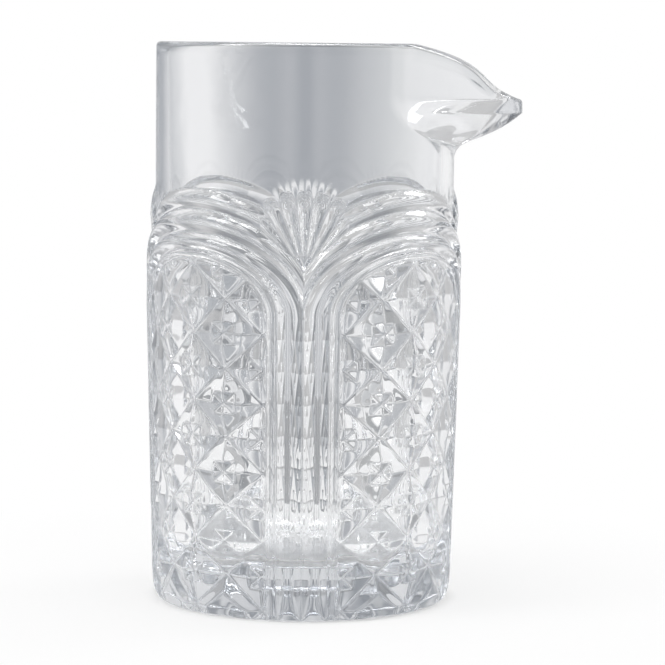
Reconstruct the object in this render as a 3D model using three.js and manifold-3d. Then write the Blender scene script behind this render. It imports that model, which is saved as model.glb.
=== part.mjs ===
// A pressed cocktail mixing glass: a heavy straight-sided tumbler with one pulled pouring beak.
// Its side carries four arched panels of raised diamonds between reeded columns, with a small
// fan of petals over each column. Everything is one body of glass, as it leaves the mould.
// Millimetres, +Z up, origin on the axis at the underside, the beak along +X.
import * as THREE from "three";
import { LoftGeometry } from "three/addons/geometries/LoftGeometry.js";
import { mergeVertices } from "three/addons/utils/BufferGeometryUtils.js";
import Module from "manifold-3d";

const wasm = await Module();
wasm.setup();

// The plain wall that the pattern stands on. Near the foot the pattern is rounded in, over the foot's
// rise, to a low edge round the underside.
const HEIGHT = 150;
const BAND_RADIUS = 40.2;
const SIDE_TAPER = 0.0247;
const FOOT_RISE = 7;
const FOOT_EDGE = 0.2;
const RIM_WALL = 2.7;
const INNER_DRAFT_DEGREES = 1.2;
const FLOOR_THICKNESS = 13;
const FLOOR_FILLET = 2.5;
const FLOOR_DOME = 0.4;
const RIM_ROUND = 1.2;
const INNER_RIM_FALL = 3.6;
const RAYS = 48;

// The pattern: how far it stands out, how often it repeats, and where the arches spring.
const RELIEF = 2.3;
const PANELS = 4;
const SPRING_HEIGHT = 79.5;
const PANEL_HALF_ANGLE = 31.6;
const EDGE_REED_ANGLE = 3.7;
const PANEL_CROWN = 94.2;
const EDGE_REED_CROWN = 2.2;
const INNER_REED_CROWN = 4.4;
const MIDDLE_REED_CROWN = 6.2;
const OUTER_REED_CROWN = 5;
const PANEL_VALLEY = 0.2;
const ARCH_STEPS = 12;

// The diamonds: each is quartered into four pointed studs. The spread is how far the points stand
// from the diamond's centre, as a share of the way to its corners. The diamonds at the foot are whole,
// with a flat top that is the given share of their size.
const DIAMOND_ANGLE = 30;
const DIAMOND_HEIGHT = 18.13;
const DIAMOND_ROWS = 5;
const LATTICE_TOP = 93;
const DIAMOND_RISE = 2.15;
const GROOVE_RISE = 0.45;
const QUARTER_SPREAD = 0.31;
const STUD_ROOT = 1.5;
const FOOT_STUD_TOP = 0.55;
const PAD_DRAFT = 0.35;

// The fan over each column.
const FAN_PETALS = 7;
const FAN_PITCH_DEGREES = 13.6;
const FAN_CENTRE_HEIGHT = 91.3;
const FAN_INNER_RADIUS = 5;
const FAN_OUTER_RADIUS = 21;
const PETAL_WIDTH = 3.7;
const PETAL_RISE = 1.6;

// The beak: how far it reaches from the axis, how round its tip is, the glass at its tip, and how far
// below the rim its tip and its root are.
const BEAK_REACH = 58.4;
const BEAK_TIP_RADIUS = 11;
const BEAK_TIP_WALL = 6.5;
const BEAK_TIP_DROP = 18.2;
const BEAK_ROOT_DROP = 31.3;
const CHANNEL_TIP_RADIUS = 7;
const CHANNEL_TIP_DROP = 14.8;
const CHANNEL_ROOT_DROP = 30;
const LIP_START = 27.4;
const LIP_TIP_DROP = 14.4;
const BEAK_STEPS = 5;

// How the beak's lines bend: a step outwards and upwards from each end of a line to its handle.
const UNDERSIDE_HANDLES = [new THREE.Vector2(0.1, 7.2), new THREE.Vector2(-10.4, -9.2)];
const CHANNEL_HANDLES = [new THREE.Vector2(0.6, 3), new THREE.Vector2(-7.5, -8.3)];
const LIP_HANDLES = [new THREE.Vector2(25, -5.6), new THREE.Vector2(-15.6, 2.6)];

// How far the pattern's forms reach into the wall and into each other.
const LAP = 0.04;
const COLUMN_LAP = 0.25;
const BURY = 2.4;

const DEGREE = Math.PI / 180;
const SECTOR = 360 / PANELS;
const HALF_SECTOR = SECTOR / 2;
const INNER_RIM_RADIUS = BAND_RADIUS - RIM_WALL;
const LIP_ROUND = Math.min(RIM_ROUND, RIM_WALL * 0.45);
const BEAK_TIP_HEIGHT = HEIGHT - BEAK_TIP_DROP;
const BEAK_ROOT_HEIGHT = HEIGHT - BEAK_ROOT_DROP;
const CHANNEL_REACH = BEAK_REACH - BEAK_TIP_WALL;
const CHANNEL_TIP_HEIGHT = HEIGHT - CHANNEL_TIP_DROP;
const CHANNEL_ROOT_HEIGHT = HEIGHT - CHANNEL_ROOT_DROP;
const MM_PER_DEGREE = BAND_RADIUS * DEGREE;

// A closed geometry as a solid for joining and cutting.
function solidOf(geometry) {
  const surface = new THREE.BufferGeometry();
  surface.setAttribute("position", geometry.attributes.position);
  surface.setIndex(geometry.index);
  const merged = mergeVertices(surface, 1e-5);
  const vertProperties = merged.attributes.position.array;
  const triVerts = new Uint32Array(merged.index.array);
  return new wasm.Manifold(new wasm.Mesh({ numProp: 3, vertProperties, triVerts }));
}

function joined(solids) {
  return solids.reduce((whole, next) => whole.add(next));
}

function lofted(sections) {
  return solidOf(new LoftGeometry(sections, { capStart: true, capEnd: true }));
}

function revolved(profile, steps) {
  return solidOf(new THREE.LatheGeometry(profile, steps).rotateX(Math.PI / 2));
}

// The plain wall's radius at a height: straight above the arches, tapering to the foot.
function wallRadius(z) {
  return BAND_RADIUS - SIDE_TAPER * Math.max(SPRING_HEIGHT - z, 0);
}

// How far the pattern may stand out of the wall near the foot, where it is rounded in.
function footLimit(z) {
  const fromTop = THREE.MathUtils.clamp(1 - z / FOOT_RISE, 0, 1);
  return THREE.MathUtils.lerp(FOOT_EDGE, RELIEF, Math.sqrt(1 - fromTop ** 2));
}

// A point of the pattern: an angle round the glass, a height, and how far it is raised.
function onWall(degrees, z, raise) {
  const radius = wallRadius(z) + raise;
  const turn = degrees * DEGREE;
  return new THREE.Vector3(radius * Math.cos(turn), radius * Math.sin(turn), z);
}

// Heights where the foot's rounding is sampled, from the flat underside up.
function footHeights() {
  return [0, 0.06, 0.3, 1].map((part) => part * FOOT_RISE);
}

function boreRadius(z) {
  return INNER_RIM_RADIUS - (HEIGHT - z) * Math.tan(INNER_DRAFT_DEGREES * DEGREE);
}

function beakLine(start, end, [startHandle, endHandle]) {
  return new THREE.CubicBezierCurve(start, start.clone().add(startHandle), end.clone().add(endHandle), end);
}

// Three lines in the plane of the beak's axis, each given as distance from the glass's axis and
// height: the beak's underside, the floor of its channel, and its dipping lip.
const UNDERSIDE = beakLine(
  new THREE.Vector2(BAND_RADIUS, BEAK_ROOT_HEIGHT),
  new THREE.Vector2(BEAK_REACH, BEAK_TIP_HEIGHT),
  UNDERSIDE_HANDLES,
);
const CHANNEL_FLOOR = beakLine(
  new THREE.Vector2(boreRadius(CHANNEL_ROOT_HEIGHT), CHANNEL_ROOT_HEIGHT),
  new THREE.Vector2(CHANNEL_REACH, CHANNEL_TIP_HEIGHT),
  CHANNEL_HANDLES,
);
const LIP = beakLine(
  new THREE.Vector2(LIP_START, HEIGHT),
  new THREE.Vector2(BEAK_REACH, HEIGHT - LIP_TIP_DROP),
  LIP_HANDLES,
);

// The point of a curve where one coordinate has a given value. That coordinate grows along it.
function pointWhere(curve, coordinate, value) {
  const halvings = 40;
  let low = 0;
  let high = 1;
  for (let i = 0; i < halvings; i += 1) {
    const middle = (low + high) / 2;
    if (curve.getPoint(middle)[coordinate] < value) low = middle;
    else high = middle;
  }
  return curve.getPoint(low);
}

// Where a ray from the axis leaves a round wall that has a beak: two straight sides, tangent to the
// wall and to a rounded tip.
function beakedRadius(degrees, round, reach, tipRadius) {
  if (reach <= round) return round;
  const ray = Math.abs(degrees) * DEGREE;
  const tipCentre = reach - tipRadius;
  const side = Math.acos((round - tipRadius) / tipCentre);
  if (ray >= side) return round;
  const tipSide = Math.atan2(tipRadius * Math.sin(side), tipCentre + tipRadius * Math.cos(side));
  if (ray >= tipSide) return round / Math.cos(side - ray);
  const offset = tipCentre * Math.sin(ray);
  return tipCentre * Math.cos(ray) + Math.sqrt(tipRadius ** 2 - offset ** 2);
}

function outerRadius(degrees, z) {
  if (z <= BEAK_ROOT_HEIGHT) return wallRadius(z);
  const reach = z < BEAK_TIP_HEIGHT ? pointWhere(UNDERSIDE, "y", z).x : BEAK_REACH;
  return beakedRadius(degrees, wallRadius(z), reach, BEAK_TIP_RADIUS);
}

function innerRadius(degrees, z) {
  if (z <= CHANNEL_ROOT_HEIGHT) return boreRadius(z);
  const reach = z < CHANNEL_TIP_HEIGHT ? pointWhere(CHANNEL_FLOOR, "y", z).x : CHANNEL_REACH;
  return beakedRadius(degrees, boreRadius(z), reach, CHANNEL_TIP_RADIUS);
}

function lipHeight(degrees, radius) {
  const x = radius * Math.cos(degrees * DEGREE);
  return x <= LIP_START ? HEIGHT : pointWhere(LIP, "x", x).y;
}

// Rays round the axis from the back of the glass, closer together at the beak's tip.
function rayAngles() {
  const step = 360 / RAYS;
  const rays = [];
  for (let degrees = -180; degrees < 180; degrees += step) {
    const parts = degrees >= -step && degrees < step ? [0, 0.25, 0.5, 0.75] : [0];
    parts.forEach((part) => rays.push(degrees + part * step));
  }
  return rays;
}

// The whole vessel as one skin of rings: up the outside, over the lip and down to the inner floor.
function vessel() {
  const rays = rayAngles();
  const outerLip = rays.map((ray) => outerRadius(ray, HEIGHT));
  const outerTop = rays.map((ray, i) => lipHeight(ray, outerLip[i]));
  const innerLip = rays.map((ray) => innerRadius(ray, HEIGHT));
  const innerTop = rays.map((ray, i) => lipHeight(ray, innerLip[i]));
  const ring = (radiusAt, heightAt) => rays.map((ray, i) => {
    const z = heightAt(i);
    const radius = radiusAt(ray, z, i);
    return new THREE.Vector3(radius * Math.cos(ray * DEGREE), radius * Math.sin(ray * DEGREE), z);
  });
  const rings = [0, SPRING_HEIGHT].map((z) => ring(outerRadius, () => z));
  for (let i = 0; i <= BEAK_STEPS; i += 1) {
    const part = i / BEAK_STEPS;
    const height = (ray) => THREE.MathUtils.lerp(BEAK_ROOT_HEIGHT, outerTop[ray] - LIP_ROUND, part);
    rings.push(ring(outerRadius, height));
  }
  const bend = LIP_ROUND * (1 - Math.SQRT1_2);
  rings.push(ring((ray, z, i) => outerLip[i] - bend, (i) => outerTop[i] - bend));
  rings.push(ring((ray, z, i) => outerLip[i] - LIP_ROUND, (i) => outerTop[i]));
  const innerBend = INNER_RIM_FALL * (1 - Math.SQRT1_2);
  rings.push(ring((ray, z, i) => innerLip[i] + LIP_ROUND, (i) => innerTop[i]));
  rings.push(ring((ray, z, i) => innerLip[i] + bend, (i) => innerTop[i] - innerBend));
  for (let i = 0; i <= BEAK_STEPS; i += 1) {
    const part = i / BEAK_STEPS;
    const height = (ray) => THREE.MathUtils.lerp(innerTop[ray] - INNER_RIM_FALL, CHANNEL_ROOT_HEIGHT, part);
    rings.push(ring(innerRadius, height));
  }
  const filletTop = FLOOR_THICKNESS + FLOOR_FILLET;
  const filletSteps = 2;
  for (let i = 0; i <= filletSteps; i += 1) {
    const turn = (Math.PI / 2) * (i / filletSteps);
    const radius = boreRadius(filletTop) - FLOOR_FILLET * (1 - Math.cos(turn));
    rings.push(ring(() => radius, () => filletTop - FLOOR_FILLET * Math.sin(turn)));
  }
  const domeRadius = (boreRadius(filletTop) - FLOOR_FILLET) / 2;
  rings.push(ring(() => domeRadius, () => FLOOR_THICKNESS + FLOOR_DOME));
  return lofted(rings);
}

// One line of an arch: half an ellipse over two legs, measured from the panel's middle.
function archLine(legAngle, crownHeight) {
  const rise = crownHeight - SPRING_HEIGHT;
  return (sweep) => ({
    degrees: legAngle * Math.cos(sweep),
    z: SPRING_HEIGHT + rise * Math.sin(sweep),
  });
}

// The reeds of an arch from the panel outwards. Each lies between two arch lines, has valleys at
// its two sides and a rounded back. The two inner reeds run down to the foot as half a column. The
// others rise out of the wall where the sweep of the arch passes the angles given as rises.
const edgeCrown = PANEL_CROWN + EDGE_REED_CROWN;
const innerCrown = edgeCrown + INNER_REED_CROWN;
const middleCrown = innerCrown + MIDDLE_REED_CROWN;
const outerCrown = middleCrown + OUTER_REED_CROWN;
const columnAngle = HALF_SECTOR + COLUMN_LAP;
const REEDS = [
  { leg: PANEL_HALF_ANGLE + EDGE_REED_ANGLE, crown: edgeCrown, valley: 0.2, back: 0.55, steps: 2 },
  { leg: columnAngle, crown: innerCrown, valley: 0.2, back: 0.8, steps: 4 },
  { leg: columnAngle * 1.09, crown: middleCrown, valley: 0.2, back: 0.8, steps: 4, rises: [0, 11] },
  { leg: columnAngle * 1.2, crown: outerCrown, valley: -0.1, back: 0.6, steps: 4, rises: [45, 66] },
];

const SUNK_POINTS = REEDS.filter(({ rises }) => rises).reduce((sum, { steps }) => sum + steps, 0);

// A reed's share of its height at one place of the arch: nothing where it lies inside the wall.
function shownPart({ rises }, sweep) {
  if (!rises) return 1;
  const fromLeg = Math.min(sweep, Math.PI - sweep) / DEGREE;
  return THREE.MathUtils.clamp((fromLeg - rises[0]) / (rises[1] - rises[0]), 0, 1);
}

// One section across all reeds of an arch. On the legs it lies level at the given height.
function reedSection(middle, sweep, legHeight) {
  const place = (line) => {
    const { degrees, z } = line(sweep);
    const side = THREE.MathUtils.clamp(degrees, -columnAngle, columnAngle);
    return { degrees: side, z: legHeight ?? z };
  };
  let from = place(archLine(PANEL_HALF_ANGLE, PANEL_CROWN));
  let valley = PANEL_VALLEY;
  const limit = legHeight === undefined ? Infinity : footLimit(legHeight);
  const points = [onWall(middle + from.degrees, from.z, -BURY)];
  points.push(onWall(middle + from.degrees, from.z, Math.min(valley * RELIEF, limit)));
  let sunk = 0;
  REEDS.forEach((reed) => {
    const to = place(archLine(reed.leg, reed.crown));
    const shown = shownPart(reed, sweep);
    for (let i = 1; i <= reed.steps; i += 1) {
      const across = i / reed.steps;
      const back = reed.back * 4 * across * (1 - across);
      const full = RELIEF * (THREE.MathUtils.lerp(valley, reed.valley, across) + back);
      const raise = Math.min(full, limit);
      if (shown < 1) sunk += 1;
      const inWall = -BURY * (sunk / SUNK_POINTS);
      const degrees = THREE.MathUtils.lerp(from.degrees, to.degrees, across);
      const z = THREE.MathUtils.lerp(from.z, to.z, across);
      points.push(onWall(middle + degrees, z, THREE.MathUtils.lerp(inWall, raise, shown)));
    }
    from = to;
    valley = reed.valley;
  });
  points.push(onWall(middle + from.degrees, from.z, -BURY));
  return points;
}

// All reeds of one arch in one sweep: up one leg, over the crown and down the other leg.
function reedArch(middle) {
  const sections = footHeights().map((z) => reedSection(middle, 0, z));
  for (let i = 0; i <= ARCH_STEPS; i += 1) {
    sections.push(reedSection(middle, Math.PI * (i / ARCH_STEPS)));
  }
  footHeights().reverse().forEach((z) => sections.push(reedSection(middle, Math.PI, z)));
  return lofted(sections);
}

function petal(column, lean) {
  const direction = new THREE.Vector2(Math.sin(lean), Math.cos(lean));
  const stations = [[0, 0.3, 0.5], [0.75, 1, 1], [1, 0.45, 0.3]];
  const sections = stations.map(([along, wide, high]) => {
    const radius = THREE.MathUtils.lerp(FAN_INNER_RADIUS, FAN_OUTER_RADIUS, along);
    const halfWidth = (PETAL_WIDTH / 2) * wide;
    const place = (across, raise) => onWall(
      column + (direction.x * radius + direction.y * across) / MM_PER_DEGREE,
      FAN_CENTRE_HEIGHT + direction.y * radius - direction.x * across,
      raise,
    );
    const backs = [-1, -0.45, 0.45, 1].map((side) => (
      place(side * halfWidth, PETAL_RISE * high * (1 - side * side) - LAP)
    ));
    return [...backs, place(halfWidth, -BURY), place(-halfWidth, -BURY)];
  });
  return lofted(sections);
}

// A four-sided stud wrapped onto the wall. Its flanks pass the level of the grooves, where its corners
// are at the given share of a diamond's corners, and run on into the wall.
function stud(degrees, z, topHalf, grooveHalf) {
  const height = (DIAMOND_RISE - GROOVE_RISE) * STUD_ROOT;
  const rootHalf = THREE.MathUtils.lerp(topHalf, grooveHalf, STUD_ROOT);
  const geometry = new THREE.CylinderGeometry(topHalf, rootHalf, height, 4);
  const corners = geometry.attributes.position;
  for (let i = 0; i < corners.count; i += 1) {
    const { x, y, z: level } = onWall(
      degrees - corners.getX(i) * (DIAMOND_ANGLE / 2),
      z + corners.getZ(i) * (DIAMOND_HEIGHT / 2),
      DIAMOND_RISE - height / 2 + corners.getY(i),
    );
    corners.setXYZ(i, x, y, level);
  }
  return solidOf(geometry);
}

// The points of one diamond's four studs, measured from the panel's middle.
function quarterPoints(degrees, z) {
  const aside = QUARTER_SPREAD * (DIAMOND_ANGLE / 2);
  const above = QUARTER_SPREAD * (DIAMOND_HEIGHT / 2);
  return [
    { degrees: degrees + aside, z },
    { degrees: degrees - aside, z },
    { degrees, z: z + above },
    { degrees, z: z - above },
  ];
}

function isInsideArch({ degrees, z }) {
  if (Math.abs(degrees) > PANEL_HALF_ANGLE) return false;
  const sweep = Math.acos(degrees / PANEL_HALF_ANGLE);
  return z < archLine(PANEL_HALF_ANGLE, PANEL_CROWN)(sweep).z;
}

// A panel of diamonds, trimmed to the arch. The lowest row stands on the foot, and is left whole.
function diamondPanel(middle) {
  const outline = (grow, raise) => {
    const half = PANEL_HALF_ANGLE + grow / MM_PER_DEGREE;
    const line = archLine(half, PANEL_CROWN + grow);
    const points = [onWall(middle - half, -BURY, raise), onWall(middle + half, -BURY, raise)];
    for (let i = 0; i <= ARCH_STEPS; i += 1) {
      const { degrees, z } = line(Math.PI * (i / ARCH_STEPS));
      points.push(onWall(middle + degrees, z, raise));
    }
    return points;
  };
  const clear = 3 * BURY;
  const window = lofted([outline(PAD_DRAFT * BURY, -BURY), outline(-PAD_DRAFT * clear, clear)]);
  const trimTop = PANEL_CROWN + BURY;
  const trimHeights = [...footHeights(), SPRING_HEIGHT, trimTop];
  const trim = revolved([
    new THREE.Vector2(0, 0),
    ...trimHeights.map((z) => new THREE.Vector2(wallRadius(z) + footLimit(z), z)),
    new THREE.Vector2(0, trimTop),
  ], RAYS);
  const studs = [];
  for (let row = 0; row <= 2 * DIAMOND_ROWS; row += 1) {
    const z = LATTICE_TOP - row * (DIAMOND_HEIGHT / 2);
    const columns = row % 2 === 0 ? [-1, 1] : [-2, 0, 2];
    columns.forEach((column) => {
      const degrees = column * (DIAMOND_ANGLE / 2);
      if (row === 2 * DIAMOND_ROWS) {
        studs.push(stud(middle + degrees, z, FOOT_STUD_TOP, 1));
        return;
      }
      const points = quarterPoints(degrees, z).filter(isInsideArch);
      points.forEach((point) => studs.push(stud(middle + point.degrees, point.z, 0, 1 - QUARTER_SPREAD)));
    });
  }
  return joined(studs).intersect(window).intersect(trim);
}

function patternSector(index) {
  const column = index * SECTOR;
  const middle = column + HALF_SECTOR;
  const petals = [];
  for (let i = 0; i < FAN_PETALS; i += 1) {
    const lean = (i - (FAN_PETALS - 1) / 2) * FAN_PITCH_DEGREES * DEGREE;
    petals.push(petal(column, lean));
  }
  return [diamondPanel(middle), reedArch(middle), ...petals];
}

function mixingGlass() {
  const pattern = [];
  for (let index = 0; index < PANELS; index += 1) pattern.push(...patternSector(index));
  return joined([vessel(), ...pattern]);
}

function meshOf(solid, material, name) {
  const data = solid.getMesh();
  const geometry = new THREE.BufferGeometry();
  geometry.setAttribute("position", new THREE.BufferAttribute(data.vertProperties, 3));
  geometry.setIndex(new THREE.BufferAttribute(data.triVerts, 1));
  geometry.computeVertexNormals();
  const mesh = new THREE.Mesh(geometry, material);
  mesh.name = name;
  return mesh;
}

const clearGlass = new THREE.MeshStandardMaterial({
  color: 0xdfe5ea,
  roughness: 0.04,
  metalness: 0,
  transparent: true,
  opacity: 0.35,
});

const group = new THREE.Group();
group.name = "cocktail_mixing_glass";
group.add(meshOf(mixingGlass(), clearGlass, "mixing_glass"));

export default group;
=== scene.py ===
"""A pressed cocktail mixing glass in clear glass, on a white studio sweep.

The glass is one fine skin of rings: up the outside over the pressed relief and the beak, over the
lip, and down the smooth bore to the floor. Its sizes are in millimetres and degrees, as on a drawing,
and become metres when the mesh is made. The stage is in metres.
"""
import math

import bpy
import numpy as np
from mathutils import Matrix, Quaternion, Vector


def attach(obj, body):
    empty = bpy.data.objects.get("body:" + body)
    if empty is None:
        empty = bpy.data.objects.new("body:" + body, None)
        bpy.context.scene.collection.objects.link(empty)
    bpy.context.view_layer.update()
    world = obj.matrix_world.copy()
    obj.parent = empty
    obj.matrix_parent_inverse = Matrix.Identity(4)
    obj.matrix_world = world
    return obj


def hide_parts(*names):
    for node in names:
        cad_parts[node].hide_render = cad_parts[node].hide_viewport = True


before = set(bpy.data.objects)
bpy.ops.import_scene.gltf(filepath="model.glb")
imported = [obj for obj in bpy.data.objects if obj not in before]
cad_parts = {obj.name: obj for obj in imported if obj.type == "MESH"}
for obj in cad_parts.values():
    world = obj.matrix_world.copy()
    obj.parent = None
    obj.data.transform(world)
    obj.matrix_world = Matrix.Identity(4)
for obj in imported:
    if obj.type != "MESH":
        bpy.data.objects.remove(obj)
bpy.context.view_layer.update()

# The plain wall.
HEIGHT = 150.0
BAND_RADIUS = 40.2
SIDE_TAPER = 0.0247
FOOT_RISE = 7.0
FOOT_EDGE = 0.2
RIM_WALL = 2.7
RIM_ROUND = 1.2
INNER_RIM_FALL = 3.6
INNER_DRAFT_DEGREES = 1.2
FLOOR_THICKNESS = 13.0
FLOOR_FILLET = 6.0
FLOOR_DOME = 0.4

# The pressed pattern.
RELIEF = 2.3
RELIEF_LIMIT = 1.05 * RELIEF
ABOVE_PATTERN = 9.0
PANELS = 4
SPRING_HEIGHT = 79.5
PANEL_VALLEY = 0.2
DIAMOND_ANGLE = 30.0
DIAMOND_HEIGHT = 18.13
LATTICE_TOP = 93.0
DIAMOND_RISE = 2.15
GROOVE_RISE = 0.45
QUARTER_SPREAD = 0.31
FOOT_STUD_TOP = 0.55
BORDER_SLOPE = 2.8

# Arch lines from the panel outwards: half angle of the legs and height of the crown.
ARCH_LINES = [(31.6, 94.2), (35.3, 96.4), (45.0, 100.8), (49.3, 107.0), (54.3, 112.0)]
# Reeds between them: valley at the outer side, rise of the back, and where the arch lifts it out of
# the wall, as degrees of sweep from its leg.
REEDS = [
    {"valley": 0.20, "back": 0.55, "rises": None},
    {"valley": 0.20, "back": 0.80, "rises": None},
    {"valley": 0.20, "back": 0.80, "rises": (0.0, 11.0)},
    {"valley": 0.00, "back": 0.60, "rises": (45.0, 66.0)},
]

# The fan over each column. The shares of a petal's width and rise go from its root, 0, to its tip, 1.
FAN_PETALS = 7
FAN_PITCH_DEGREES = 13.6
FAN_CENTRE_HEIGHT = 91.3
FAN_INNER_RADIUS = 5.0
FAN_OUTER_RADIUS = 21.0
PETAL_WIDTH = 3.7
PETAL_RISE = 1.6
PETAL_WIDTH_SHARES = [(0, 0.3), (0.75, 1), (1, 0.9)]
PETAL_RISE_SHARES = [(-0.05, 0), (0, 0.4), (0.5, 0.9), (0.75, 0.6), (0.9, 0.15), (1, 0)]
PETAL_RIDGE_ROUND = 0.2
PETAL_FLANK = 0.82

# The beak: lines in the plane of its axis, as distance from the glass's axis and height.
BEAK_REACH = 58.4
BEAK_TIP_RADIUS = 11.0
BEAK_ROOT_HEIGHT = 118.7
BEAK_TIP_HEIGHT = 131.8
CHANNEL_REACH = 51.9
CHANNEL_TIP_RADIUS = 7.0
CHANNEL_TIP_HEIGHT = 135.2
CHANNEL_ROOT_HEIGHT = 120.0
LIP_START = 27.4
LIP_TIP_HEIGHT = 135.6

# How fine the skin is, and how softly its ridges and grooves are pressed.
COLUMNS = 1080
PATTERN_STEP = 0.3
FOOT_RINGS = 26
BEAK_RINGS = 70
BORE_RINGS = 40
FILLET_RINGS = 12
LIP_TURNS = [20, 40, 60, 75, 90]
BEAK_LINE_POINTS = 400
SOFT = 0.16
GROOVE_SOFT = SOFT / 4
VALLEY_FILL = 0.18

# The photograph's view: from the rim's level, a little downwards, with a long lens.
CAMERA_PLACE = (0.0, -0.773, 0.150)
CAMERA_AIM = (0.0079, 0.0, 0.07182)
CAMERA_LENS = 154.97
CAMERA_ROLL_DEGREES = 0.6

# Softboxes: name, place, side and power, all aimed at the glass.
SOFTBOXES = [
    ("overhead_softbox", (-0.02, -0.05, 0.62), 0.28, 2.0),
    ("left_softbox", (-0.40, -0.20, 0.50), 0.20, 1.3),
    ("right_softbox", (0.40, 0.20, 0.50), 0.20, 1.3),
]
SOFTBOX_AIM = (0.0, 0.0, 0.08)
AMBIENT = 0.15
LIGHT_BOUNCES = 64

# The floor, and its share of white by distance from the glass's axis.
FLOOR_HALF = 3.0
FLOOR_DROP = 0.0002
FLOOR_SHARES = [(0.0, 0.02), (0.034, 0.05), (0.042, 0.80), (0.16, 1.0)]

# The round of glowing cards, with greys from far left to far right by the sine of the bearing: grey
# straight ahead, bright on both sides of that, and dark further round to the left. Only the glass sees
# them: their glow is painted light and shade in its reflections and refractions.
CARD_GLOW_STOPS = [
    (-1.00, (1.00, 1.00, 1.00)),
    (-0.82, (0.97, 0.97, 0.98)),
    (-0.68, (0.60, 0.61, 0.63)),
    (-0.56, (0.42, 0.44, 0.47)),
    (-0.40, (0.38, 0.40, 0.43)),
    (-0.30, (0.62, 0.63, 0.65)),
    (-0.24, (0.88, 0.88, 0.89)),
    (-0.16, (0.87, 0.87, 0.88)),
    (-0.10, (0.58, 0.59, 0.61)),
    (-0.05, (0.40, 0.415, 0.445)),
    (0.05, (0.40, 0.415, 0.445)),
    (0.10, (0.525, 0.54, 0.56)),
    (0.18, (0.70, 0.71, 0.72)),
    (0.28, (0.88, 0.88, 0.89)),
    (0.60, (0.97, 0.97, 0.97)),
    (0.76, (0.86, 0.86, 0.87)),
    (1.00, (1.00, 1.00, 1.00)),
]
CARD_SIDES = 120
CARD_FOOT = 0.16
CARD_DISTANCE = 0.45
CARD_SPLIT = 0.17
CARD_HEIGHT = 0.33
# Each glowing card: its inner or lower edge and its outer or upper edge, as radius and height, and its
# level, the strength of its painted glow.
GLOW_CARDS = {
    "standing_glow_cards": ((CARD_DISTANCE, 0.0), (CARD_DISTANCE, CARD_SPLIT), 1.0),
    "upper_glow_cards": ((CARD_DISTANCE, CARD_SPLIT), (CARD_DISTANCE, CARD_HEIGHT), 0.66),
    "floor_glow_cards": ((CARD_FOOT, 0.0), (CARD_DISTANCE, 0.0), 0.62),
}

MM = 0.001
SECTOR = 360.0 / PANELS
MM_PER_DEGREE = math.radians(BAND_RADIUS)


def lerp(start, end, part):
    return start + (end - start) * part


def along_stops(part, stops):
    """The value at a part of the way through stops given as part and value."""
    return np.interp(part, *np.transpose(stops))


def soft_min(a, b, soft=SOFT):
    """The lower of two heights, with the edge between them rounded."""
    return 0.5 * (a + b - np.sqrt((a - b) ** 2 + soft**2))


def soft_max(a, b, soft=SOFT):
    """The higher of two heights, with the edge between them rounded."""
    return 0.5 * (a + b + np.sqrt((a - b) ** 2 + soft**2))


def wall_radius(z):
    return BAND_RADIUS - SIDE_TAPER * np.maximum(SPRING_HEIGHT - z, 0)


def bore_radius(z):
    return BAND_RADIUS - RIM_WALL - (HEIGHT - z) * math.tan(math.radians(INNER_DRAFT_DEGREES))


# Relief

def foot_limit(z):
    """How far the pattern may stand out near the foot, where it is rounded in."""
    from_top = np.clip(1 - z / FOOT_RISE, 0, 1)
    return lerp(FOOT_EDGE, RELIEF_LIMIT, np.sqrt(1 - from_top**2))


def arch_distance(aside, z, line):
    """How far outside an arch line a point lies, in millimetres, and its sweep from the leg."""
    leg, crown = line
    across = aside / leg
    up = np.maximum(z - SPRING_HEIGHT, 0) / (crown - SPRING_HEIGHT)
    reach = np.hypot(across, up)
    slope = np.hypot(across / (leg * MM_PER_DEGREE), up / (crown - SPRING_HEIGHT)) / reach
    return (reach - 1) / slope, np.degrees(np.arctan2(up, across))


def reed_relief(aside, z):
    """Height of the nested reeds, and how far outside the panel's border each point lies."""
    border, _ = arch_distance(aside, z, ARCH_LINES[0])
    height = np.zeros_like(z)
    valley = PANEL_VALLEY
    inner = border
    for line, reed in zip(ARCH_LINES[1:], REEDS):
        outer, sweep = arch_distance(aside, z, line)
        part = np.clip(inner / np.maximum(inner - outer, 1e-6), 0, 1)
        ground = RELIEF * lerp(valley, reed["valley"], part)
        raised = ground + RELIEF * reed["back"] * 4 * part * (1 - part)
        raised = soft_max(raised, ground + VALLEY_FILL, VALLEY_FILL)
        if reed["rises"]:
            start, end = reed["rises"]
            raised = raised * np.clip((sweep - start) / (end - start), 0, 1)
        height = np.where((inner > 0) & (outer <= 0), raised, height)
        valley = reed["valley"]
        inner = outer
    return height, border


def petal_relief(from_column, z):
    """Height of the fan over a column."""
    x = from_column * MM_PER_DEGREE
    y = z - FAN_CENTRE_HEIGHT
    height = np.zeros_like(z)
    for index in range(FAN_PETALS):
        lean = math.radians((index - (FAN_PETALS - 1) / 2) * FAN_PITCH_DEGREES)
        along = x * math.sin(lean) + y * math.cos(lean)
        across = x * math.cos(lean) - y * math.sin(lean)
        part = (along - FAN_INNER_RADIUS) / (FAN_OUTER_RADIUS - FAN_INNER_RADIUS)
        half_width = PETAL_WIDTH / 2 * along_stops(part, PETAL_WIDTH_SHARES)
        rise = PETAL_RISE * along_stops(part, PETAL_RISE_SHARES)
        from_ridge = np.sqrt((across / half_width) ** 2 + PETAL_RIDGE_ROUND**2) - PETAL_RIDGE_ROUND
        height = np.maximum(height, rise * (1 - from_ridge / PETAL_FLANK))
    return height


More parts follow.
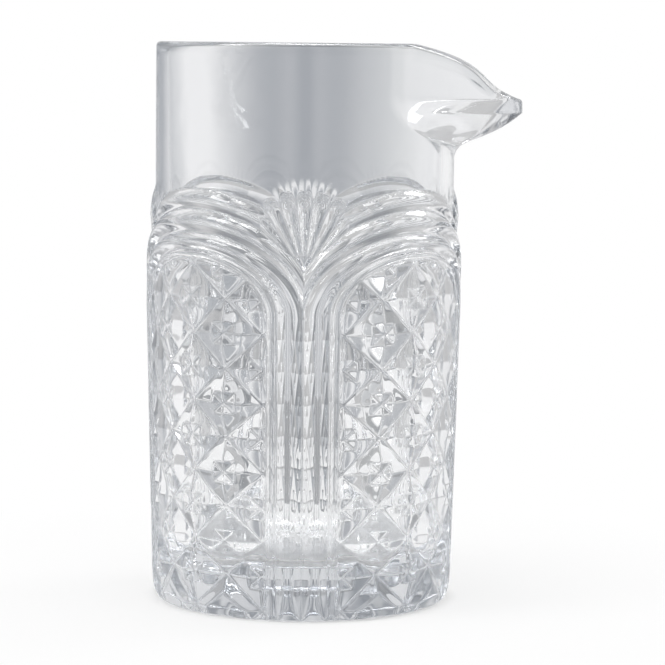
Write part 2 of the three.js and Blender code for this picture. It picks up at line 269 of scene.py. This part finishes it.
def diamond_relief(offset, z):
    """Height of the quartered diamonds, measured from the panel's middle. Those at the foot are whole."""
    across = offset / (DIAMOND_ANGLE / 2)
    up = (z - LATTICE_TOP) / (DIAMOND_HEIGHT / 2)
    slope = (DIAMOND_RISE - GROOVE_RISE) / (1 - QUARTER_SPREAD)
    middle_rise = DIAMOND_RISE - slope * QUARTER_SPREAD
    foot_slope = (DIAMOND_RISE - GROOVE_RISE) / (1 - FOOT_STUD_TOP)
    whole = np.full_like(z, DIAMOND_RISE)
    quartered = np.full_like(z, ABOVE_PATTERN)
    cells = []
    for line in ((across + up) / 2, (across - up) / 2):
        from_groove = np.abs(line - np.round(line)) * 2
        groove = np.sqrt(from_groove**2 + GROOVE_SOFT**2)
        cut = np.sqrt((1 - from_groove) ** 2 + GROOVE_SOFT**2)
        flank = GROOVE_RISE + slope * groove
        whole = soft_min(whole, GROOVE_RISE + foot_slope * groove)
        quartered = soft_min(quartered, soft_min(flank, middle_rise + slope * cut))
        cells.append(np.floor(line))
    centre = LATTICE_TOP + (DIAMOND_HEIGHT / 2) * (cells[0] - cells[1])
    return np.where(centre < FOOT_RISE, whole, quartered)


def relief(angle, z):
    """How far the pressed pattern stands out of the wall."""
    offset = (angle % SECTOR) - SECTOR / 2
    aside = np.abs(offset)
    reeds, border = reed_relief(aside, z)
    inside = soft_min(diamond_relief(offset, z), PANEL_VALLEY * RELIEF - BORDER_SLOPE * border)
    height = np.where(border < 0, inside, reeds)
    height = np.maximum(height, petal_relief(SECTOR / 2 - aside, z))
    return np.where(z < FOOT_RISE, soft_min(height, foot_limit(z), FOOT_EDGE), height)


# Beak

def beak_line(start, end, start_handle, end_handle):
    """A line of the beak, sampled from end to end: distances from the axis and heights."""
    part = np.linspace(0, 1, BEAK_LINE_POINTS)[:, None]
    start, end = np.array(start), np.array(end)
    points = (
        start * (1 - part) ** 3
        + (start + start_handle) * 3 * part * (1 - part) ** 2
        + (end + end_handle) * 3 * part**2 * (1 - part)
        + end * part**3
    )
    return points[:, 0], points[:, 1]


UNDERSIDE = beak_line(
    start=(BAND_RADIUS, BEAK_ROOT_HEIGHT),
    end=(BEAK_REACH, BEAK_TIP_HEIGHT),
    start_handle=(0.1, 7.2),
    end_handle=(-10.4, -9.2),
)
CHANNEL = beak_line(
    start=(bore_radius(CHANNEL_ROOT_HEIGHT), CHANNEL_ROOT_HEIGHT),
    end=(CHANNEL_REACH, CHANNEL_TIP_HEIGHT),
    start_handle=(0.6, 3),
    end_handle=(-7.5, -8.3),
)
LIP = beak_line(
    start=(LIP_START, HEIGHT),
    end=(BEAK_REACH, LIP_TIP_HEIGHT),
    start_handle=(25, -5.6),
    end_handle=(-15.6, 2.6),
)


def beaked_radius(angle, wall, reach, tip_radius):
    """Where a ray from the axis leaves a round wall with a beak: two sides tangent to a round tip."""
    ray = np.radians(np.abs((angle + 180) % 360 - 180))
    reach = np.maximum(reach, wall + 1e-6)
    tip = reach - tip_radius
    side = np.arccos((wall - tip_radius) / tip)
    tip_side = np.arctan2(tip_radius * np.sin(side), tip + tip_radius * np.cos(side))
    on_side = wall / np.cos(np.clip(side - ray, 0, None))
    on_tip = tip * np.cos(ray) + np.sqrt(np.maximum(tip_radius**2 - (tip * np.sin(ray)) ** 2, 0))
    return np.where(ray >= side, wall, np.where(ray >= tip_side, on_side, on_tip))


def outer_radius(angle, z):
    reach = np.where(z > BEAK_ROOT_HEIGHT, np.interp(z, UNDERSIDE[1], UNDERSIDE[0]), 0)
    return beaked_radius(angle, wall_radius(z), reach, BEAK_TIP_RADIUS)


def inner_radius(angle, z):
    reach = np.where(z > CHANNEL_ROOT_HEIGHT, np.interp(z, CHANNEL[1], CHANNEL[0]), 0)
    return beaked_radius(angle, bore_radius(z), reach, CHANNEL_TIP_RADIUS)


def lip_height(angle, radius):
    """Height of the lip, which dips towards the beak."""
    x = radius * np.cos(np.radians(angle))
    return np.where(x > LIP_START, np.interp(x, *LIP), HEIGHT)


# The skin: each ring is its radii and its heights, one of each per column.

def level_ring(radius, z):
    return np.full(COLUMNS, radius), np.full(COLUMNS, z)


def outside_rings(angle):
    """From the underside up over the foot and the pattern, and on over the band and the beak."""
    foot = wall_radius(0)
    rings = [level_ring(radius, 0.0) for radius in (0.3 * foot, 0.8 * foot, foot - 1, foot - 0.3)]
    foot_heights = FOOT_RISE * (1 - np.cos(np.linspace(0, math.pi / 2, FOOT_RINGS)))
    pattern_top = BEAK_ROOT_HEIGHT - 1
    steps = round((pattern_top - FOOT_RISE) / PATTERN_STEP)
    wall_heights = np.linspace(FOOT_RISE, pattern_top, steps, endpoint=False)[1:]
    for level in [*foot_heights, *wall_heights]:
        z = np.full(COLUMNS, level)
        rings.append((wall_radius(z) + relief(angle, z), z))
    lip = outer_radius(angle, np.full(COLUMNS, HEIGHT))
    for part in np.linspace(0, 1, BEAK_RINGS):
        z = lerp(pattern_top, lip_height(angle, lip) - RIM_ROUND, part)
        rings.append((outer_radius(angle, z), z))
    return rings


def lip_rings(angle):
    """Over the rounded lip, from its outer side to its inner one."""
    top = np.full(COLUMNS, HEIGHT)
    outer, inner = outer_radius(angle, top), inner_radius(angle, top)
    outer_top, inner_top = lip_height(angle, outer), lip_height(angle, inner)
    rings = []
    for turn in np.radians(LIP_TURNS):
        in_by, down_by = RIM_ROUND * (1 - np.cos(turn)), RIM_ROUND * (1 - np.sin(turn))
        rings.append((outer - in_by, outer_top - down_by))
    for turn in np.radians(LIP_TURNS[::-1]):
        out_by, down_by = RIM_ROUND * (1 - np.cos(turn)), INNER_RIM_FALL * (1 - np.sin(turn))
        rings.append((inner + out_by, inner_top - down_by))
    return rings


def inside_rings(angle):
    """Down the bore with the beak's channel, round the corner and over the domed floor."""
    lip = inner_radius(angle, np.full(COLUMNS, HEIGHT))
    rings = []
    for part in np.linspace(0, 1, BEAK_RINGS):
        z = lerp(lip_height(angle, lip) - INNER_RIM_FALL, CHANNEL_ROOT_HEIGHT, part)
        rings.append((inner_radius(angle, z), z))
    fillet_top = FLOOR_THICKNESS + FLOOR_FILLET
    for z in np.linspace(CHANNEL_ROOT_HEIGHT - 2, fillet_top + 0.5, BORE_RINGS):
        rings.append(level_ring(bore_radius(z), z))
    corner = bore_radius(fillet_top) - FLOOR_FILLET
    for turn in np.linspace(0, math.pi / 2, FILLET_RINGS):
        out_by, down_by = FLOOR_FILLET * math.cos(turn), FLOOR_FILLET * math.sin(turn)
        rings.append(level_ring(corner + out_by, fillet_top - down_by))
    for part in (0.8, 0.6, 0.4, 0.2, 0.05):
        rings.append(level_ring(corner * part, FLOOR_THICKNESS + FLOOR_DOME * (1 - part**2)))
    return rings


def skin_mesh(name, angle, rings):
    """A closed smooth mesh of rings, with its two ends closed by fans."""
    turn = np.radians(angle)
    radius = np.array([ring[0] for ring in rings])
    height = np.array([ring[1] for ring in rings])
    rows, columns = radius.shape
    grid = np.stack([radius * np.cos(turn), radius * np.sin(turn), height], axis=-1).reshape(-1, 3)
    ends = [(0, 0, height[0, 0]), (0, 0, height[-1, 0])]
    points = np.concatenate([grid, ends]) * MM

    first = np.arange(columns)
    second = (first + 1) % columns
    below = np.arange(rows - 1)[:, None] * columns
    above = below + columns
    quads = np.stack([below + first, below + second, above + second, above + first], axis=-1)
    last_row = (rows - 1) * columns
    bottom_middle, floor_middle = np.full(columns, rows * columns), np.full(columns, rows * columns + 1)
    bottom = np.stack([second, first, bottom_middle], axis=-1)
    floor = np.stack([last_row + first, last_row + second, floor_middle], axis=-1)
    corners = np.concatenate([quads.ravel(), bottom.ravel(), floor.ravel()])
    sizes = np.concatenate([np.full((rows - 1) * columns, 4), np.full(2 * columns, 3)])
    starts = np.cumsum(sizes) - sizes

    mesh = bpy.data.meshes.new(name)
    mesh.vertices.add(len(points))
    mesh.vertices.foreach_set("co", points.astype(np.float32).ravel())
    mesh.loops.add(len(corners))
    mesh.loops.foreach_set("vertex_index", corners.astype(np.int32))
    mesh.polygons.add(len(sizes))
    mesh.polygons.foreach_set("loop_start", starts.astype(np.int32))
    mesh.polygons.foreach_set("use_smooth", np.ones(len(sizes), dtype=bool))
    mesh.update(calc_edges=True)
    mesh.validate()
    return mesh


# Materials

def new_material(name):
    material = bpy.data.materials.new(name)
    material.use_nodes = True
    nodes = material.node_tree.nodes
    nodes.clear()
    return material, nodes, material.node_tree.links


def colour_ramp(nodes, stops):
    """A ramp through stops given as position and colour, the first and the last at its ends."""
    ramp = nodes.new("ShaderNodeValToRGB")
    elements = ramp.color_ramp.elements
    for element, (position, colour) in zip(elements, (stops[0], stops[-1])):
        element.position = position
        element.color = (*colour, 1)
    for position, colour in stops[1:-1]:
        elements.new(position).color = (*colour, 1)
    return ramp


def clear_glass():
    """Clear pressed glass: faint mould ripple, a fine orange peel, and a cool body in its depth."""
    material, nodes, links = new_material("clear_pressed_glass")
    output = nodes.new("ShaderNodeOutputMaterial")
    shader = nodes.new("ShaderNodeBsdfPrincipled")
    shader.inputs["IOR"].default_value = 1.52
    shader.inputs["Transmission Weight"].default_value = 1.0
    links.new(shader.outputs["BSDF"], output.inputs["Surface"])
    body = nodes.new("ShaderNodeVolumeAbsorption")
    body.inputs["Color"].default_value = (0.735, 0.75, 0.77, 1)
    body.inputs["Density"].default_value = 18.0
    links.new(body.outputs["Volume"], output.inputs["Volume"])
    place = nodes.new("ShaderNodeTexCoord")
    ripple = nodes.new("ShaderNodeTexNoise")
    ripple.inputs["Scale"].default_value = 55.0
    ripple.inputs["Detail"].default_value = 2.0
    links.new(place.outputs["Object"], ripple.inputs["Vector"])
    tint = colour_ramp(nodes, [(0.0, (0.975, 0.978, 0.982)), (1.0, (0.996, 0.998, 1.0))])
    links.new(ripple.outputs["Fac"], tint.inputs["Fac"])
    links.new(tint.outputs["Color"], shader.inputs["Base Color"])
    polish = nodes.new("ShaderNodeMapRange")
    polish.inputs["To Min"].default_value = 0.0
    polish.inputs["To Max"].default_value = 0.03
    links.new(ripple.outputs["Fac"], polish.inputs["Value"])
    links.new(polish.outputs["Result"], shader.inputs["Roughness"])
    bump = nodes.new("ShaderNodeBump")
    bump.inputs["Strength"].default_value = 0.12
    bump.inputs["Distance"].default_value = 0.0006
    links.new(ripple.outputs["Fac"], bump.inputs["Height"])
    links.new(bump.outputs["Normal"], shader.inputs["Normal"])
    return material


def seen_directly(nodes, links):
    """1 for rays that show the background: to the camera, by reflection or through glass."""
    rays = nodes.new("ShaderNodeLightPath")
    seen = rays.outputs["Is Camera Ray"]
    for kind in ("Is Glossy Ray", "Is Transmission Ray"):
        either = nodes.new("ShaderNodeMath")
        either.operation = "MAXIMUM"
        links.new(seen, either.inputs[0])
        links.new(rays.outputs[kind], either.inputs[1])
        seen = either.outputs["Value"]
    return seen


def floor_material():
    """White studio floor that keeps the glass's soft shadow."""
    material, nodes, links = new_material("studio_floor")
    output = nodes.new("ShaderNodeOutputMaterial")
    paper = nodes.new("ShaderNodeBsdfDiffuse")
    paper.inputs["Color"].default_value = (0.86, 0.865, 0.87, 1)
    glow = nodes.new("ShaderNodeEmission")
    glow.inputs["Color"].default_value = (1, 1, 1, 1)
    glow.inputs["Strength"].default_value = 1.0
    place = nodes.new("ShaderNodeTexCoord")
    distance = nodes.new("ShaderNodeVectorMath")
    distance.operation = "LENGTH"
    links.new(place.outputs["Object"], distance.inputs[0])
    fade = colour_ramp(nodes, [(position, (level,) * 3) for position, level in FLOOR_SHARES])
    links.new(distance.outputs["Value"], fade.inputs["Fac"])
    share = nodes.new("ShaderNodeMath")
    share.operation = "MULTIPLY"
    links.new(seen_directly(nodes, links), share.inputs[0])
    links.new(fade.outputs["Color"], share.inputs[1])
    white = nodes.new("ShaderNodeMixShader")
    links.new(share.outputs["Value"], white.inputs["Fac"])
    links.new(paper.outputs["BSDF"], white.inputs[1])
    links.new(glow.outputs["Emission"], white.inputs[2])
    links.new(white.outputs["Shader"], output.inputs["Surface"])
    return material


def glowing_card_material(name, level):
    """Glowing greys that change with the bearing from the glass: painted light and shade for the glass to
    show.
    """
    material, nodes, links = new_material(name)
    material.cycles.emission_sampling = "NONE"
    output = nodes.new("ShaderNodeOutputMaterial")
    place = nodes.new("ShaderNodeTexCoord")
    flat = nodes.new("ShaderNodeVectorMath")
    flat.operation = "MULTIPLY"
    flat.inputs[1].default_value = (1, 1, 0)
    links.new(place.outputs["Object"], flat.inputs[0])
    bearing = nodes.new("ShaderNodeVectorMath")
    bearing.operation = "NORMALIZE"
    links.new(flat.outputs["Vector"], bearing.inputs[0])
    split = nodes.new("ShaderNodeSeparateXYZ")
    links.new(bearing.outputs["Vector"], split.inputs["Vector"])
    side = nodes.new("ShaderNodeMapRange")
    side.inputs["From Min"].default_value = -1.0
    side.inputs["From Max"].default_value = 1.0
    links.new(split.outputs["X"], side.inputs["Value"])
    card_glow_greys = colour_ramp(nodes, [((sine + 1) / 2, colour) for sine, colour in CARD_GLOW_STOPS])
    links.new(side.outputs["Result"], card_glow_greys.inputs["Fac"])
    # The greys glow at the card's level: painted light and shade for the glass to reflect and refract.
    shown = nodes.new("ShaderNodeEmission")
    shown.inputs["Strength"].default_value = level
    links.new(card_glow_greys.outputs["Color"], shown.inputs["Color"])
    links.new(shown.outputs["Emission"], output.inputs["Surface"])
    return material


# Stage

def add_object(name, data):
    thing = bpy.data.objects.new(name, data)
    bpy.context.scene.collection.objects.link(thing)
    return thing


def make_floor():
    corners = [(x * FLOOR_HALF, y * FLOOR_HALF, 0) for x, y in ((-1, -1), (1, -1), (1, 1), (-1, 1))]
    mesh = bpy.data.meshes.new("floor")
    mesh.from_pydata(corners, [], [(0, 1, 2, 3)])
    mesh.materials.append(floor_material())
    floor = add_object("floor", mesh)
    floor.location.z = -FLOOR_DROP


def make_glowing_card(name, inner, outer, level):
    """A round of glowing grey and white cards between two edges: painted light and shade that only glass
    sees.
    """
    turns = np.linspace(0, 2 * math.pi, CARD_SIDES, endpoint=False)
    points = [(r * math.cos(t), r * math.sin(t), z) for r, z in (inner, outer) for t in turns]
    faces = []
    for side in range(CARD_SIDES):
        following = (side + 1) % CARD_SIDES
        faces.append((side, following, CARD_SIDES + following, CARD_SIDES + side))
    mesh = bpy.data.meshes.new(name)
    mesh.from_pydata(points, [], faces)
    mesh.materials.append(glowing_card_material(name, level))
    card = add_object(name, mesh)
    card.visible_camera = False
    card.visible_diffuse = False
    card.visible_shadow = False


def make_world():
    """White all round to the camera and the glass, and a plain soft light on the floor."""
    world = bpy.data.worlds.new("studio")
    bpy.context.scene.world = world
    world.use_nodes = True
    nodes, links = world.node_tree.nodes, world.node_tree.links
    nodes.clear()
    output = nodes.new("ShaderNodeOutputWorld")
    plain = nodes.new("ShaderNodeBackground")
    plain.inputs["Color"].default_value = (1, 1, 1, 1)
    plain.inputs["Strength"].default_value = AMBIENT
    white = nodes.new("ShaderNodeBackground")
    white.inputs["Color"].default_value = (1, 1, 1, 1)
    mix = nodes.new("ShaderNodeMixShader")
    links.new(seen_directly(nodes, links), mix.inputs["Fac"])
    links.new(plain.outputs["Background"], mix.inputs[1])
    links.new(white.outputs["Background"], mix.inputs[2])
    links.new(mix.outputs["Shader"], output.inputs["Surface"])


def facing(place, aim):
    """The turn that points a camera or a light from its place at its aim."""
    return (Vector(aim) - Vector(place)).to_track_quat("-Z", "Y")


def make_softbox(name, place, side, power):
    data = bpy.data.lights.new(name, "AREA")
    data.size = side
    data.energy = power
    light = add_object(name, data)
    light.location = place
    light.rotation_euler = facing(place, SOFTBOX_AIM).to_euler()
    light.visible_camera = False


def make_camera():
    data = bpy.data.cameras.new("camera")
    data.sensor_width = 36.0
    data.lens = CAMERA_LENS
    camera = add_object("camera", data)
    camera.location = CAMERA_PLACE
    roll = Quaternion((0, 0, 1), math.radians(CAMERA_ROLL_DEGREES))
    camera.rotation_euler = (facing(CAMERA_PLACE, CAMERA_AIM) @ roll).to_euler()
    bpy.context.scene.camera = camera


def make_glass():
    angle = np.arange(COLUMNS) * 360.0 / COLUMNS
    rings = outside_rings(angle) + lip_rings(angle) + inside_rings(angle)
    mesh = skin_mesh("pressed_mixing_glass", angle, rings)
    mesh.materials.append(clear_glass())
    glass = add_object("pressed_mixing_glass", mesh)
    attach(glass, "root")
    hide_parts("mixing_glass")


scene = bpy.context.scene
scene.view_settings.view_transform = "Standard"
scene.cycles.max_bounces = LIGHT_BOUNCES
scene.cycles.glossy_bounces = LIGHT_BOUNCES
scene.cycles.transmission_bounces = LIGHT_BOUNCES
make_camera()
make_glass()
make_floor()
# Glowing cards round the glass: painted light and shade that only the glass reflects and refracts.
for name, (inner, outer, level) in GLOW_CARDS.items():
    make_glowing_card(name, inner, outer, level)
make_world()
for softbox in SOFTBOXES:
    make_softbox(*softbox)
